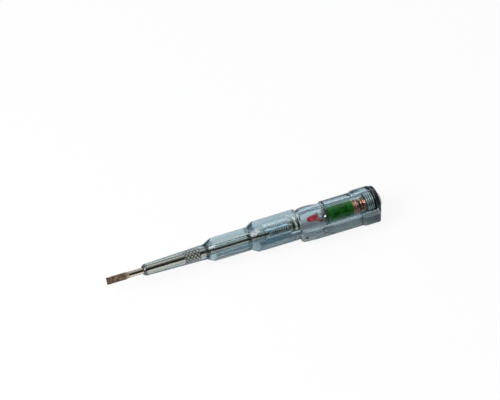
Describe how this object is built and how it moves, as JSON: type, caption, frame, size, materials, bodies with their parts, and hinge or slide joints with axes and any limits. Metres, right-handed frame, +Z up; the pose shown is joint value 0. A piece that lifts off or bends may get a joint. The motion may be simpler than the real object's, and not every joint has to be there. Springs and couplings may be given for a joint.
{
  "type": "voltage tester screwdriver",
  "caption": "Slim clear pocket screwdriver with a flat blade, six-sided grips, a lamp window that shows live voltage, a sprung pocket clip and a screwed cap.",
  "frame": {"origin": "on the axis where the shaft leaves the nose of the handle", "axes": "+X along the axis from the nose to the end cap, +Z up with flats of the grips facing up and down, clip on the -Y side"},
  "size_m": [0.1394, 0.0197, 0.0156],
  "materials": {
    "clear_blue": "clear moulded plastic, smoky blue tint, polished",
    "tube_clear": "clear extruded plastic tube",
    "rod_steel": "nickel-plated steel rod, bare ground blade",
    "spring_steel": "drawn spring steel wire",
    "copper_wire": "bright copper-plated wire",
    "touch_copper": "polished copper alloy",
    "washer_brass": "turned brass",
    "nickel": "nickel plate on brass",
    "lamp_red": "red tinted epoxy",
    "tinned_wire": "tinned lead wire",
    "board_green": "glass-fibre board, green mask",
    "solder": "smooth solder",
    "resistor_tan": "lacquered resistor body with colour bands",
    "chip_black": "moulded epoxy",
    "capacitor_tan": "ceramic chip, tinned ends",
    "cell_steel": "drawn steel can",
    "wrap_green": "printed green shrink sleeve",
    "cap_black": "polished black moulding"
  },
  "bodies": {
    "handle": {"handle_body": "clear_blue", "blade_shaft": "rod_steel", "front_spring": "spring_steel"},
    "clip": {"pocket_clip": "clear_blue"},
    "lamp_module": {"contact_washer": "washer_brass", "contact_cup": "nickel", "lamp_tube": "tube_clear", "led_lamp": "lamp_red", "led_leads": "tinned_wire", "circuit_board": "board_green", "solder_joints": "solder", "series_resistor": "resistor_tan", "resistor_leads": "copper_wire", "driver_chip": "chip_black", "chip_capacitor": "capacitor_tan", "board_terminal": "washer_brass", "cell_front": "cell_steel", "cell_middle": "cell_steel", "cell_rear": "cell_steel", "cell_wrap": "wrap_green"},
    "rear_spring": {"tail_spring": "copper_wire"},
    "cap": {"threaded_plug": "nickel", "end_cap": "cap_black", "touch_plate": "touch_copper"}
  },
  "joints": [
    {"name": "clip_flex", "type": "hinge", "parent": "handle", "child": "clip", "pos_m": [0.10755, -0.0113, 0], "axis": [0, 0, 1], "range_deg": [0, 5], "stiffness_Nm_per_rad": 1.2},
    {"name": "module_slide", "type": "slide", "parent": "handle", "child": "lamp_module", "axis": [1, 0, 0], "range_m": [0, 0.0014], "deforming": ["front_spring"]},
    {"name": "tail_spring_slide", "type": "slide", "parent": "lamp_module", "child": "rear_spring", "axis": [1, 0, 0], "range_m": [0, 0.003], "deforming": ["tail_spring"]},
    {"name": "cap_turn", "type": "hinge", "parent": "rear_spring", "child": "cap", "pos_m": [0.1165, 0, 0], "axis": [1, 0, 0], "range_deg": [0, 2880]}
  ],
  "couplings": [
    {"joint": "tail_spring_slide", "follows": "module_slide", "ratio": 2.1429},
    {"joint": "cap_turn", "follows": "module_slide", "rad_per_m": 35903}
  ]
}
